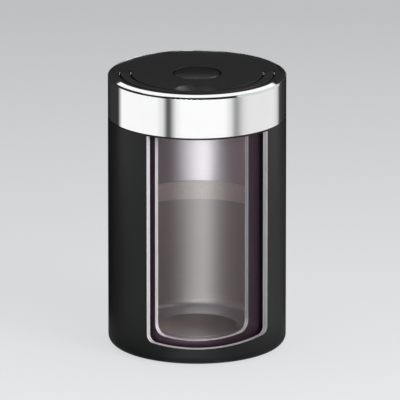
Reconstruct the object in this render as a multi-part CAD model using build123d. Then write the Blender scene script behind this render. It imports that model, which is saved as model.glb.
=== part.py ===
from build123d import *

import os
from itertools import pairwise
from math import degrees, hypot

# Insulated food jar with a screw lid, cut open at the front to show its double wall.
# A steel outer shell and a steel inner vessel meet at the rim of the neck, with a vacuum between.
# The lid carries a folding handle that lies in its top and a press button that lets air in.
# Millimetres. The origin is the centre of the foot, +Z is up and the front is -Y.

# Overall sizes
body_radius = 50.0  # body and lid band
jar_height = 157.0  # foot pad to the corner of the lid's rim
lid_height = 24.4  # lower edge of the lid band to the crest of its rim
lid_gap = 0.25  # shoulder of the body to the lid band

# Sheet gauges
shell_gauge = 0.8
vessel_gauge = 0.8
closure_gauge = 0.6
band_gauge = 0.6
foil_gauge = 0.2

# Outer shell
foot_stand = 0.4  # foot pad below the shell
foot_round = 4.5
foot_width = 8.0  # rolled in under the body
shoulder_round = 0.5
neck_root_round = 0.8

# Inner vessel
neck_gap = 1.2  # inside of the neck to the vessel
vessel_corner = 4.3
vessel_upstand = 0.2  # straight edge above the corner, up to the seam
floor_plateau_radius = 22.0
floor_slope_width = 4.0
floor_rise = 1.2
floor_round = 3.0
rim_round = 0.5
fill_line_drop = 67.0  # rim to the pressed fill line
fill_line_depth = 0.3

# Copper foil round the vessel
foil_clearance = 0.05
foil_tuck_radius = 30.0  # where the foil ends under the vessel
foil_setback = 0.3  # from the edge of the vessel's window

# Windows: angles run round from the front towards +X
shell_window_left = -34.2
shell_window_right = 51.9
shell_sill_room = 0.5  # closure to the lip of the sill
shell_sill_sag = 180.0  # radius of the sill's curve
shell_window_corner = 4.5
shell_lip_depth = 3.2
vessel_window_left = -32.7
vessel_window_right = 41.4
vessel_sill_room = 0.1  # seam of the vessel to the lip of the sill
vessel_sill_sag = 120.0
vessel_window_corner = 6.5
vessel_lip_depth = 2.9
lip_width = 1.0  # sheet turned in along each window

# Bottom of the jar
closure_flange = 1.2
closure_fit = 0.05
pump_hole_radius = 1.2
pump_seal_radius = 4.0
pump_seal_thickness = 0.9
pump_seal_room = 0.3  # seal to the base cover
getter_radius = 9.0
getter_width = 4.0
getter_height = 1.5
getter_wall = 0.4
getter_room = 1.6  # getter to the underside of the vessel
base_cover_gauge = 1.2
base_cover_flange = 1.2  # snaps in past the lip of the shell
base_cover_skirt = 1.3
base_cover_drop = 0.5
base_fit = 0.2
pad_round = 0.4
pad_groove_radii = (12.0, 24.0, 34.0)
pad_groove_width = 2.0
pad_groove_depth = 0.5

# Lid band
rim_width = 3.1  # sloping rim of the band
rim_drop = 1.3
rim_tuck = 0.3  # the rim's inner edge ends this far below its outer corner
rim_crest_round = 0.2
band_edge_round = 0.8

# Lid cover
cover_recess = 0.4  # cover below the crest of the rim
cover_plate = 1.8
cover_wall = 1.4
cover_land = 3.2  # top of the cover to the ledge on the liner and the skirt ring
cover_skirt_rise = 0.6  # lower edge of the band to the lower edge of the skirt ring
snap_bead_height = 0.9
snap_bead_reach = 0.6
cover_edge_round = 0.35  # top edges of the channel and the well
cover_fit = 0.05  # cover in band, liner in cover
rim_fit = 0.1

# Lid liner, gasket and insulation
thread_room = 1.2  # neck to the inside of the liner's skirt
liner_wall = 1.4
plug_clearance = 0.8
deck_room = 0.15  # hollows of the cover to the liner's deck
plug_depth = 12.4
plug_round = 2.5
gasket_height = 1.5
gasket_round = 0.4
gasket_room = 0.1
gasket_side_room = 0.15
foam_room = 0.2

# Handle
handle_inset = 6.9  # from the side of the lid
handle_width = 5.6
handle_thickness = 3.2
handle_edge_round = 0.7
handle_end = 5.1  # ends of the half ring behind the centre line
handle_room = 0.6  # round the sides of the handle
handle_floor_room = 0.2
channel_wall = 1.2
handle_pin_radius = 1.0
handle_pin_bite = 2.05  # into the cover on each side of the channel
handle_pin_play = 0.05
handle_pin_fit = 0.02
pin_boss_width = 4.4
pin_boss_drop = 3.6
scoop_radius = 13.4  # finger scoop in the top of the cover
scoop_depth = 3.7

# Vent button and valve
button_radius = 13.0
button_room = 0.5
button_crown = 0.5
button_edge_round = 0.5
button_drop = 0.15  # edge of the button below the cover
button_plate = 1.6
button_wall = 1.2
button_height = 3.0
button_travel = 2.0
button_stop_room = 0.2
button_boss_radius = 2.9
button_boss_height = 5.7
bush_room = 0.7  # boss of the button in the bush
bush_wall = 1.4
bush_shelf_height = 4.0  # liner floor to the underside of the shelf
bush_shelf = 1.2
stem_radius = 1.5
stem_play = 0.25
stem_socket = 3.0  # stem in the boss of the button
stem_tip = 0.6
valve_hole_radius = 3.4
valve_seal_radius = 6.0
valve_seal_thickness = 1.1
clip_radius = 2.8
clip_thickness = 0.6
clip_groove = 0.5
clip_slot = 1.6
spring_radius = 2.5
spring_wire = 0.5
spring_turns = 4
spring_end_room = 0.05

# Lid: heights and radii that follow from the sizes above, from the top and the side inwards
skirt_z = jar_height - lid_height
cover_z = jar_height - cover_recess
cover_side = body_radius - band_gauge - cover_fit
cover_bore = cover_side - cover_wall
land_z = cover_z - cover_land
liner_side = cover_bore - cover_fit
liner_bore = liner_side - liner_wall
handle_outer_radius = body_radius - handle_inset
handle_inner_radius = handle_outer_radius - handle_width
channel_inner = handle_inner_radius - handle_room
channel_outer = handle_outer_radius + handle_room
channel_end = handle_end + handle_room
channel_floor_z = cover_z - handle_thickness - handle_floor_room
pin_x = (handle_inner_radius + handle_outer_radius) / 2
pin_y = handle_end - handle_thickness / 2
pin_z = cover_z - handle_thickness / 2
pin_length = channel_outer - channel_inner + 2 * handle_pin_bite
hollows_z = min(channel_floor_z, cover_z - scoop_depth) - channel_wall
deck_top_z = hollows_z - deck_room
deck_z = deck_top_z - liner_wall
rim_z = deck_z - gasket_room - gasket_height
plug_z = rim_z - plug_depth
plug_floor_z = plug_z + liner_wall
well_radius = button_radius + button_room
button_edge_z = cover_z - button_drop
button_foot_z = button_edge_z - button_height
well_floor_z = button_foot_z - button_travel - button_stop_room
well_under_z = well_floor_z - channel_wall
boss_foot_z = button_edge_z - button_boss_height
bush_bore = button_boss_radius + bush_room
bush_radius = bush_bore + bush_wall
shelf_z = plug_floor_z + bush_shelf_height + bush_shelf
clip_z = plug_z - valve_seal_thickness - clip_thickness

# Jar: the same, from the neck and the foot
shoulder_z = skirt_z - lid_gap
window_top = shoulder_z - shell_gauge
fill_line_z = rim_z - fill_line_drop
neck_radius = liner_bore - thread_room
vessel_radius = neck_radius - shell_gauge - neck_gap
vessel_bore = vessel_radius - vessel_gauge
plug_radius = vessel_bore - plug_clearance
base_opening_radius = body_radius - foot_width
shell_floor_z = foot_stand + shell_gauge
closure_z = shell_floor_z + base_cover_gauge + pump_seal_room + pump_seal_thickness
closure_corner = foot_round - shell_gauge
closure_top_z = closure_z + closure_corner + closure_flange
vessel_under_z = closure_z + closure_gauge + getter_height + getter_room
seam_z = vessel_under_z + vessel_corner + vessel_upstand
shell_sill = closure_top_z + shell_sill_room + lip_width
vessel_sill = seam_z + vessel_sill_room + lip_width
cut_reach = 2 * body_radius  # longer than anything that a cut passes through


def turned(points, roundings):
    """A solid turned about Z from a closed outline of (radius, height) points."""
    section = make_face(Polyline(*points, close=True)).face()
    for point, rounding in zip(points, roundings):
        if rounding:
            section = section.fillet_2d(rounding, [section.vertices().sort_by_distance(point)[0]])
    return revolve(Plane.XZ * section, Axis.Z)


def sheet(points, roundings, gauge):
    """Sheet metal turned about Z: its outside line, with the gauge on the left of its path."""
    line = [Vector(r, z) for r, z in points]
    headings = [(end - start).normalized() for start, end in pairwise(line)]
    normals = [Vector(-heading.Y, heading.X) for heading in headings]
    inside = [line[0] + normals[0] * gauge]
    inner_roundings = []
    for point, before, after, rounding in zip(line[1:], normals, normals[1:], roundings):
        inside.append(point + (before + after) * (gauge / (1 + before.dot(after))))
        turns_left = before.X * after.Y - before.Y * after.X > 0
        inner_roundings.append(max(rounding - gauge, 0) if turns_left else rounding + gauge)
    inside.append(line[-1] + normals[-1] * gauge)
    outline = [(point.X, point.Y) for point in line + inside[::-1]]
    return turned(outline, [0, *roundings, 0, 0, *inner_roundings[::-1], 0])


def tube(inner, outer, low, high):
    """A plain ring about Z."""
    return turned([(inner, low), (outer, low), (outer, high), (inner, high)], [0] * 4)


def disc(radius, low, high):
    """A plain disc about Z."""
    return Pos(0, 0, (low + high) / 2) * Cylinder(radius, high - low)


def window_block(left, right, sill, sag, corner, bounds, grow=0.0):
    """A block that fills a window between two radii, made wider all round by grow."""
    inner, outer = bounds
    spread = degrees(grow / outer)
    middle = Pos((inner + outer) / 2, window_top / 2)
    section = Plane.XZ * middle * Rectangle(outer - inner, window_top)
    block = revolve(section, Axis.Z, revolution_arc=right - left + 2 * spread)
    block = Rot(0, 0, left - spread - 90) * block
    block &= Pos(0, 0, sill - grow + sag) * Rot(90, 0, 0) * Cylinder(sag, cut_reach + outer)

    def runs_outwards(edge):
        start, end = edge @ 0, edge @ 1
        return abs(hypot(start.X, start.Y) - hypot(end.X, end.Y)) > (outer - inner) / 2

    corners = block.edges().filter_by(runs_outwards).sort_by(Axis.Z)[:2]
    return fillet(corners, corner + grow)


def cut_window(wall, thick_wall, left, right, sill, sag, corner, bounds):
    """The wall with its window cut out and the sheet turned in along the cut."""
    opening = window_block(left, right, sill, sag, corner, bounds)
    frame = window_block(left, right, sill, sag, corner, bounds, lip_width)
    lip = (frame - opening) & thick_wall
    return (wall - opening) + lip


# ---- The jar ----


def make_outer_shell():
    outside = [
        (base_opening_radius, foot_stand),
        (body_radius, foot_stand),
        (body_radius, shoulder_z),
        (neck_radius, shoulder_z),
        (neck_radius, rim_z - vessel_gauge),
    ]
    wall = sheet(outside, [foot_round, shoulder_round, neck_root_round], shell_gauge)
    thick_wall = tube(body_radius - shell_lip_depth, body_radius, shell_floor_z, window_top)
    return cut_window(
        wall,
        thick_wall,
        shell_window_left,
        shell_window_right,
        shell_sill,
        shell_sill_sag,
        shell_window_corner,
        (body_radius - 2 * shell_lip_depth, body_radius + shell_lip_depth),
    )


def vessel_window_block(grow):
    return window_block(
        vessel_window_left,
        vessel_window_right,
        vessel_sill,
        vessel_sill_sag,
        vessel_window_corner,
        (vessel_radius - 2 * vessel_lip_depth, vessel_radius + vessel_lip_depth),
        grow,
    )


def make_vessel_tube():
    outside = [
        (vessel_radius, seam_z),
        (vessel_radius, rim_z - vessel_gauge),
        (neck_radius, rim_z - vessel_gauge),
    ]
    wall = sheet(outside, [rim_round], vessel_gauge)
    fill_line = turned(
        [
            (vessel_bore - fill_line_depth, fill_line_z - 2 * fill_line_depth),
            (vessel_bore + fill_line_depth, fill_line_z),
            (vessel_bore - fill_line_depth, fill_line_z + 2 * fill_line_depth),
        ],
        [0] * 3,
    )
    thick_wall = tube(vessel_radius - vessel_lip_depth, vessel_radius, seam_z, window_top)
    opening = vessel_window_block(0)
    lip = (vessel_window_block(lip_width) - opening) & thick_wall
    return (wall - fill_line - opening) + lip


def make_vessel_floor():
    slope_end = floor_plateau_radius + floor_slope_width
    outside = [
        (0, vessel_under_z + floor_rise),
        (floor_plateau_radius, vessel_under_z + floor_rise),
        (slope_end, vessel_under_z),
        (vessel_radius, vessel_under_z),
        (vessel_radius, seam_z),
    ]
    return sheet(outside, [floor_round, floor_round, vessel_corner], vessel_gauge)


def make_copper_wrap():
    foil_radius = vessel_radius + foil_clearance + foil_gauge
    under = vessel_under_z - foil_clearance - foil_gauge
    outside = [
        (foil_tuck_radius, under),
        (foil_radius, under),
        (foil_radius, window_top - foil_setback),
    ]
    foil = sheet(outside, [vessel_corner + foil_clearance + foil_gauge], foil_gauge)
    return foil - vessel_window_block(foil_setback)


def make_bottom_closure():
    side = body_radius - shell_gauge - closure_fit
    outside = [(pump_hole_radius, closure_z), (side, closure_z), (side, closure_top_z)]
    return sheet(outside, [closure_corner], closure_gauge)


def make_evacuation_seal():
    bead = Pos(0, 0, closure_z) * Cone(
        pump_seal_radius / 2,
        pump_seal_radius,
        pump_seal_thickness,
        align=(Align.CENTER, Align.CENTER, Align.MAX),
    )
    return bead + disc(pump_hole_radius - closure_fit, closure_z, closure_z + closure_gauge)


def make_getter():
    low = closure_z + closure_gauge
    ring = tube(getter_radius - getter_width, getter_radius, low, low + getter_height)
    groove = tube(
        getter_radius - getter_width + getter_wall,
        getter_radius - getter_wall,
        low + getter_height / 2,
        low + getter_height,
    )
    return ring - groove


def make_base_cover():
    lip_radius = base_opening_radius - base_fit
    flange_radius = base_opening_radius + base_cover_flange
    low = shell_floor_z - base_cover_drop
    outline = [
        (0, shell_floor_z),
        (lip_radius - base_cover_skirt, shell_floor_z),
        (lip_radius - base_cover_skirt, low),
        (lip_radius, low),
        (lip_radius, shell_floor_z),
        (flange_radius, shell_floor_z),
        (flange_radius, shell_floor_z + base_cover_gauge),
        (0, shell_floor_z + base_cover_gauge),
    ]
    return turned(outline, [0] * len(outline))


def make_base_pad():
    edge = base_opening_radius - base_fit - base_cover_skirt - base_fit
    outline = [(0, 0), (edge, 0), (edge, shell_floor_z), (0, shell_floor_z)]
    pad = turned(outline, [0, pad_round, 0, 0])
    for radius in pad_groove_radii:
        pad -= tube(radius, radius + pad_groove_width, 0, pad_groove_depth)
    return pad


# ---- The lid ----


def make_lid_band():
    crest_radius = body_radius - rim_width
    outside = [
        (body_radius, skirt_z),
        (body_radius, jar_height - rim_drop),
        (crest_radius, jar_height),
        (crest_radius, jar_height - rim_drop - rim_tuck),
    ]
    return sheet(outside, [band_edge_round, rim_crest_round], band_gauge)


def front_part(shape, end):
    """What a shape has in front of a line at end."""
    return shape & Pos(0, end, 0) * Box(
        2 * cut_reach,
        cut_reach,
        2 * cut_reach,
        align=(Align.CENTER, Align.MAX, Align.MIN),
    )


def half_ring(inner, outer, low, high, end):
    """The front half of a ring about Z, with its ends cut off square behind the centre line."""
    return front_part(tube(inner, outer, low, high), end)


def pin_bars(radius, length):
    """A bar along X at each end of the handle, on the line that it folds about."""
    bar = Pos(pin_x, pin_y, pin_z) * Rot(0, 90, 0) * Cylinder(radius, length)
    return [bar, mirror(bar, Plane.YZ)]


def scoop_ball(grow=0.0):
    """The ball whose lower cap is the finger scoop, under the front of the handle."""
    curve = (scoop_radius**2 + scoop_depth**2) / (2 * scoop_depth)
    return Pos(0, -handle_inner_radius, cover_z - scoop_depth + curve) * Sphere(curve + grow)


def hollow(inner, outer, floor):
    """A round hollow down to floor, open at the top of the cover, with its top edges rounded."""
    mouth = 2 * cover_edge_round
    outline = [
        (inner, floor),
        (outer, floor),
        (outer, cover_z),
        (outer + mouth, cover_z),
        (outer + mouth, jar_height),
    ]
    roundings = [0, 0, cover_edge_round, 0, 0]
    if inner == 0:
        outline += [(0, jar_height)]
        roundings += [0]
    else:
        outline += [(inner - mouth, jar_height), (inner - mouth, cover_z), (inner, cover_z)]
        roundings += [0, 0, cover_edge_round]
    return turned(outline, roundings)


def channel_mouths():
    """The rounded back edge at each end of the channel."""
    mouth = 2 * cover_edge_round
    outline = [
        (channel_end - mouth, cover_z - mouth),
        (channel_end, cover_z - mouth),
        (channel_end, cover_z),
        (channel_end + mouth, cover_z),
        (channel_end + mouth, jar_height),
        (channel_end - mouth, jar_height),
    ]
    section = make_face(Polyline(*outline, close=True)).face()
    corner = section.vertices().sort_by_distance((channel_end, cover_z))[0]
    section = section.fillet_2d(cover_edge_round, [corner])
    prism = Pos(channel_inner, 0, 0) * extrude(Plane.YZ * section, channel_outer - channel_inner)
    return [prism, mirror(prism, Plane.YZ)]


def make_cover_plate():
    """The lid's top plate, with the step at its edge that lies under the rim of the band."""
    plate_radius = body_radius - rim_width - rim_fit
    shoulder = jar_height - rim_drop - band_gauge - cover_fit
    ledge_radius = channel_outer + channel_wall
    outline = [
        (0, cover_z),
        (plate_radius, cover_z),
        (plate_radius, shoulder),
        (cover_side, shoulder),
        (cover_side, land_z),
        (ledge_radius, land_z),
        (ledge_radius, cover_z - cover_plate),
        (0, cover_z - cover_plate),
    ]
    return turned(outline, [0] * len(outline))


def make_cover_walls():
    """Under the plate: the walls of the channel, the well and the scoop, and the pin bosses."""
    under = cover_z - cover_plate
    walls = half_ring(
        channel_inner - channel_wall,
        channel_outer + channel_wall,
        channel_floor_z - channel_wall,
        under,
        channel_end + channel_wall,
    )
    walls += disc(well_radius + channel_wall, well_under_z, under)
    walls += scoop_ball(channel_wall)
    for side in (-1, 1):
        walls += Pos(side * (pin_x - pin_length / 2), pin_y, under) * Box(
            pin_length,
            pin_boss_width,
            pin_boss_drop - cover_plate,
            align=(Align.MIN if side > 0 else Align.MAX, Align.CENTER, Align.MAX),
        )
    return walls & disc(channel_outer + channel_wall, well_under_z, under)


def make_lid_cover():
    cover = make_cover_plate() + make_cover_walls()
    cover -= front_part(hollow(channel_inner, channel_outer, channel_floor_z), channel_end)
    for mouth in channel_mouths():
        cover -= mouth
    cover -= hollow(0, well_radius, well_floor_z)
    cover -= disc(bush_bore, well_under_z, well_floor_z)
    cover -= scoop_ball() & disc(channel_outer, plug_z, jar_height)
    for hole in pin_bars(handle_pin_radius + handle_pin_fit, pin_length + 2 * handle_pin_fit):
        cover -= hole
    return cover


def make_lid_skirt():
    """The ring under the cover's edge, with the bead that the liner snaps onto."""
    foot = skirt_z + cover_skirt_rise
    outline = [
        (cover_side, foot),
        (cover_side, land_z),
        (cover_bore, land_z),
        (cover_bore, foot + snap_bead_height),
        (cover_bore - snap_bead_reach, foot + snap_bead_height),
        (cover_bore - snap_bead_reach, foot),
    ]
    return turned(outline, [0] * len(outline))


def make_handle():
    low = cover_z - handle_thickness
    ring = half_ring(handle_inner_radius, handle_outer_radius, low, cover_z, handle_end)
    end_edges = ring.edges().group_by(Axis.Y)[-1].filter_by(Axis.X)
    ring = fillet(end_edges, handle_thickness / 2 - cover_fit)
    top_arcs = ring.faces().sort_by(Axis.Z)[-1].edges().filter_by(GeomType.CIRCLE)
    ring = fillet(top_arcs, handle_edge_round)
    for hole in pin_bars(handle_pin_radius + handle_pin_play, pin_length):
        ring -= hole
    return ring


def make_handle_pins():
    return pin_bars(handle_pin_radius, pin_length)


def make_lid_liner():
    foot = skirt_z + cover_skirt_rise + snap_bead_height + cover_fit
    outline = [
        (valve_hole_radius, plug_z),
        (plug_radius, plug_z),
        (plug_radius, deck_z),
        (liner_bore, deck_z),
        (liner_bore, foot),
        (liner_side, foot),
        (liner_side, land_z),
        (liner_bore, land_z),
        (liner_bore, deck_top_z),
        (plug_radius - liner_wall, deck_top_z),
        (plug_radius - liner_wall, plug_floor_z),
        (valve_hole_radius, plug_floor_z),
    ]
    roundings = [0, plug_round, 0, 0, 0, 0, 0, 0, 0, 0, plug_round - liner_wall, 0]
    return turned(outline, roundings)


def make_lid_gasket():
    inner = plug_radius + gasket_side_room
    outer = liner_bore - gasket_side_room
    outline = [(inner, rim_z), (outer, rim_z), (outer, rim_z + gasket_height), (inner, rim_z + gasket_height)]
    return turned(outline, [gasket_round] * len(outline))


def make_lid_foam():
    outer = plug_radius - liner_wall - foam_room
    inner = bush_radius + foam_room
    outline = [
        (inner, plug_floor_z),
        (outer, plug_floor_z),
        (outer, well_under_z - foam_room),
        (inner, well_under_z - foam_room),
    ]
    return turned(outline, [0, plug_round - liner_wall, 0, 0])


# ---- The vent button and its valve ----


def make_vent_bush():
    bush = tube(bush_bore, bush_radius, plug_floor_z, well_under_z)
    return bush + tube(stem_radius + stem_play, bush_bore, shelf_z - bush_shelf, shelf_z)


def make_vent_button():
    top = (0, button_edge_z + button_crown)
    half_crown = TangentArc(top, (button_radius, button_edge_z), tangent=(1, 0))
    profile = half_crown + Polyline(
        (button_radius, button_edge_z),
        (button_radius, button_foot_z),
        (button_radius - button_wall, button_foot_z),
        (button_radius - button_wall, button_edge_z - button_plate),
        (button_boss_radius, button_edge_z - button_plate),
        (button_boss_radius, boss_foot_z),
        (0, boss_foot_z),
        top,
    )
    section = make_face(profile).face()
    edge = section.vertices().sort_by_distance((button_radius, button_edge_z))[0]
    button = revolve(Plane.XZ * section.fillet_2d(button_edge_round, [edge]), Axis.Z)
    return button - disc(stem_radius, boss_foot_z, boss_foot_z + stem_socket)


def make_vent_stem():
    stem = disc(stem_radius, clip_z - stem_tip, boss_foot_z + stem_socket)
    return stem - tube(stem_radius - clip_groove, stem_radius, clip_z, clip_z + clip_thickness)


def make_stem_clip():
    clip = tube(stem_radius - clip_groove, clip_radius, clip_z, clip_z + clip_thickness)
    slot = Pos(0, 0, clip_z) * Box(
        clip_slot,
        clip_radius,
        clip_thickness,
        align=(Align.CENTER, Align.MAX, Align.MIN),
    )
    return clip - slot


def make_valve_seal():
    return tube(stem_radius, valve_seal_radius, plug_z - valve_seal_thickness, plug_z)


def make_vent_spring():
    low = shelf_z + spring_wire / 2 + spring_end_room
    height = boss_foot_z - shelf_z - spring_wire - 2 * spring_end_room
    path = Helix(height / spring_turns, height, spring_radius)
    wire = Plane(origin=path @ 0, z_dir=path % 0) * Circle(spring_wire / 2)
    return Pos(0, 0, low) * sweep(wire, path=path, is_frenet=True)


NODES = {
    "outer_shell": make_outer_shell,
    "vessel_tube": make_vessel_tube,
    "vessel_floor": make_vessel_floor,
    "copper_wrap": make_copper_wrap,
    "bottom_closure": make_bottom_closure,
    "evacuation_seal": make_evacuation_seal,
    "getter": make_getter,
    "base_cover": make_base_cover,
    "base_pad": make_base_pad,
    "lid_band": make_lid_band,
    "lid_cover": make_lid_cover,
    "lid_skirt": make_lid_skirt,
    "lid_liner": make_lid_liner,
    "lid_gasket": make_lid_gasket,
    "lid_foam": make_lid_foam,
    "handle": make_handle,
    "handle_pins": make_handle_pins,
    "vent_button": make_vent_button,
    "vent_stem": make_vent_stem,
    "stem_clip": make_stem_clip,
    "valve_seal": make_valve_seal,
    "vent_bush": make_vent_bush,
    "vent_spring": make_vent_spring,
}


def main():
    os.makedirs("parts", exist_ok=True)
    for name, make in NODES.items():
        piece = make()
        solids = piece if isinstance(piece, list) else piece.solids()
        export_step(solids[0] if len(solids) == 1 else Compound(children=list(solids)), f"parts/{name}.step")


main()
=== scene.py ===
"""Finishes, threads, spring and studio for a cutaway insulated food jar, in metres."""

import math

import bmesh
import bpy
from bpy.props import FloatProperty, FloatVectorProperty, IntProperty, PointerProperty
from bpy.types import Operator, Panel, PropertyGroup
from mathutils import Matrix, Vector


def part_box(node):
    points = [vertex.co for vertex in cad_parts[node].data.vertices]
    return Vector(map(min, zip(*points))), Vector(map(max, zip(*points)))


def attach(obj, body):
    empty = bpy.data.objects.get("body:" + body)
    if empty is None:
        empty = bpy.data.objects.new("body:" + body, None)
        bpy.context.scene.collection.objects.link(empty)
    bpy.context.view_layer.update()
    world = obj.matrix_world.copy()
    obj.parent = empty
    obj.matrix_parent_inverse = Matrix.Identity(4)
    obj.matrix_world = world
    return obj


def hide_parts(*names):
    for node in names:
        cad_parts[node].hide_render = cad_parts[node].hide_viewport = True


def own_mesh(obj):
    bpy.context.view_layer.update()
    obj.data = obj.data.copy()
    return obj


bl_info = {
    "name": "Insulated Food Jar",
    "version": (1, 0, 0),
    "blender": (4, 5, 0),
    "location": "View3D > Sidebar > Food Jar",
    "description": "Finishes, threads, spring and studio for a cutaway insulated food jar",
    "category": "Object",
}

MM = 0.001

# the neck, the threads and the weld round the mouth
NECK_RADIUS = 45.3 * MM
LINER_BORE = 46.5 * MM  # inside of the lid's threaded skirt
NECK_THREAD_Z = 137.6 * MM  # middle of a ridge where it starts
RIDGE_STEPS = 48
RIDGE_SUNK = 0.1 * MM  # a ridge's foot inside its wall
RIDGE_CREST = 0.35  # flat crest as a share of the foot
RIDGE_ROUND = 0.25 * MM
RIDGE_END = 0.3  # end of a ridge as a share of its section
WELD_ROUND = 0.25 * MM
WELD_SEGMENTS = 128

# the button's spring
SPRING_RADIUS = 2.5 * MM  # to the middle of the wire
SPRING_WIRE = 0.5 * MM
SPRING_TURNS = 4
SPRING_STEPS = 32  # in each turn

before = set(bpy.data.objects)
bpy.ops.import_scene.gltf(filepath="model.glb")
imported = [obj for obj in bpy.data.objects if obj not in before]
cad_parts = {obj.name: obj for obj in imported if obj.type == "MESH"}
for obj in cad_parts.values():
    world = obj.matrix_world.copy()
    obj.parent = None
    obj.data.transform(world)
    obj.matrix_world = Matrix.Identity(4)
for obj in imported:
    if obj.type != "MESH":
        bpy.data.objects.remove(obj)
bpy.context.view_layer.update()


# ---- Sizes and colours that a user would change ----


class JarFinishSettings(PropertyGroup):
    coat_colour: FloatVectorProperty(
        name="Coat", description="Black coat of the body", subtype="COLOR", size=3,
        default=(0.0092, 0.0093, 0.0096), min=0.0, max=1.0,
    )
    plastic_colour: FloatVectorProperty(
        name="Plastic", description="Black plastic of the lid and the handle", subtype="COLOR", size=3,
        default=(0.0050, 0.0050, 0.0051), min=0.0, max=1.0,
    )
    steel_colour: FloatVectorProperty(
        name="Steel", description="Bare steel of the vessel", subtype="COLOR", size=3,
        default=(0.62, 0.53, 0.575), min=0.0, max=1.0,
    )
    worn_colour: FloatVectorProperty(
        name="Brushed steel", description="Brushed steel of the vessel below its fill band",
        subtype="COLOR", size=3, default=(0.465, 0.395, 0.395), min=0.0, max=1.0,
    )
    frost_colour: FloatVectorProperty(
        name="Fill band", description="Frosted fill band round the inside of the vessel",
        subtype="COLOR", size=3, default=(0.69, 0.58, 0.575), min=0.0, max=1.0,
    )
    # middle of the vessel's floor: a rougher blasted finish, with painted shade in its darker colour
    floor_colour: FloatVectorProperty(
        name="Vessel floor", description="Blasted steel in the middle of the vessel's floor",
        subtype="COLOR", size=3, default=(0.33, 0.28, 0.275), min=0.0, max=1.0,
    )
    edge_colour: FloatVectorProperty(
        name="Cut edges", description="Polished edges of both windows", subtype="COLOR", size=3,
        default=(0.81, 0.77, 0.805), min=0.0, max=1.0,
    )
    foil_colour: FloatVectorProperty(
        name="Foil", description="Dark foil round the vessel", subtype="COLOR", size=3,
        default=(0.068, 0.037, 0.058), min=0.0, max=1.0,
    )


class ThreadSettings(PropertyGroup):
    lead: FloatProperty(
        name="Lead", description="Rise of the lid in one turn", default=12.0 * MM, unit="LENGTH",
    )
    starts: IntProperty(name="Starts", description="Separate ridges round the neck", default=3, min=1)
    sweep: FloatProperty(
        name="Sweep", description="How far round each ridge runs",
        default=math.radians(150), subtype="ANGLE",
    )
    ridge_height: FloatProperty(
        name="Ridge height", description="Height of a ridge above its wall",
        default=0.85 * MM, unit="LENGTH",
    )
    ridge_width: FloatProperty(
        name="Ridge width", description="Width of a ridge at its foot", default=1.7 * MM, unit="LENGTH",
    )


class StudioSettings(PropertyGroup):
    overhead_power: FloatProperty(
        name="Overhead lamp", description="Power of the lamp overhead",
        default=16.0, min=0.0, unit="POWER",
    )
    front_power: FloatProperty(
        name="Front lamp", description="Power of the wide lamp in front",
        default=15.0, min=0.0, unit="POWER",
    )
    side_power: FloatProperty(
        name="Side lamp", description="Power of the lamp at the right",
        default=26.0, min=0.0, unit="POWER",
    )
    floor_colour: FloatVectorProperty(
        name="Floor", description="Colour of the pale floor", subtype="COLOR", size=3,
        default=(0.66, 0.67, 0.69), min=0.0, max=1.0,
    )


# ---- Node helpers ----


def set_inputs(tree, node, values):
    """Links the values that are sockets, and writes the others on the node's own sockets."""
    for name, value in values.items():
        if isinstance(value, bpy.types.NodeSocket):
            tree.links.new(value, node.inputs[name])
        else:
            node.inputs[name].default_value = value


def add_node(tree, kind, inputs=None, **settings):
    """A new node with its settings made and its inputs set or linked."""
    node = tree.nodes.new(kind)
    for name, value in settings.items():
        setattr(node, name, value)
    set_inputs(tree, node, inputs or {})
    return node


def maths(tree, operation, first, second=0.0, clamp=False):
    """The output of a Math node."""
    node = add_node(tree, "ShaderNodeMath", {0: first, 1: second}, operation=operation, use_clamp=clamp)
    return node.outputs[0]


def vector_maths(tree, operation, first, second=None):
    """The output of a Vector Math node, which is a value for a length or a dot product."""
    inputs = {0: first} if second is None else {0: first, 1: second}
    node = add_node(tree, "ShaderNodeVectorMath", inputs, operation=operation)
    return node.outputs["Value" if operation in ("LENGTH", "DOT_PRODUCT") else "Vector"]


def step_up(tree, value, edge, softness):
    """0 below edge and 1 above it, with a soft rise."""
    node = add_node(
        tree,
        "ShaderNodeMapRange",
        {"Value": value, "From Min": edge - softness, "From Max": edge + softness},
        interpolation_type="SMOOTHSTEP",
    )
    return node.outputs["Result"]


def under(tree, value, edge, softness):
    """1 below edge and 0 above it, with a soft fall."""
    return maths(tree, "SUBTRACT", 1.0, step_up(tree, value, edge, softness))


def between(tree, value, low, high, softness, high_softness=None):
    """1 between low and high and 0 beyond them, with soft sides."""
    rise = step_up(tree, value, low, softness)
    fall = under(tree, value, high, softness if high_softness is None else high_softness)
    return maths(tree, "MULTIPLY", rise, fall)


def mix_values(tree, mask, low, high):
    """low where mask is 0 and high where it is 1."""
    node = add_node(tree, "ShaderNodeMix", {"Factor": mask, "A": low, "B": high})
    return node.outputs["Result"]


def mix_kind(tree, data_type, kind, mask, low, high):
    """Mixes colours or vectors, whose sockets only their identifiers tell apart."""
    node = add_node(tree, "ShaderNodeMix", data_type=data_type)
    index = {socket.identifier: number for number, socket in enumerate(node.inputs)}
    ends = {index[f"A_{kind}"]: low, index[f"B_{kind}"]: high}
    set_inputs(tree, node, {index["Factor_Float"]: mask, **ends})
    return next(socket for socket in node.outputs if socket.identifier == f"Result_{kind}")


def mix_colours(tree, mask, low, high):
    """The colour low where mask is 0 and the colour high where it is 1."""
    ends = (end if isinstance(end, bpy.types.NodeSocket) else (*end, 1.0) for end in (low, high))
    return mix_kind(tree, "RGBA", "Color", mask, *ends)


def noise(tree, vector, scale, detail, distortion=0.0):
    """The value of a Noise Texture."""
    inputs = {"Vector": vector, "Scale": scale, "Detail": detail, "Distortion": distortion}
    return add_node(tree, "ShaderNodeTexNoise", inputs).outputs["Fac"]


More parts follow.
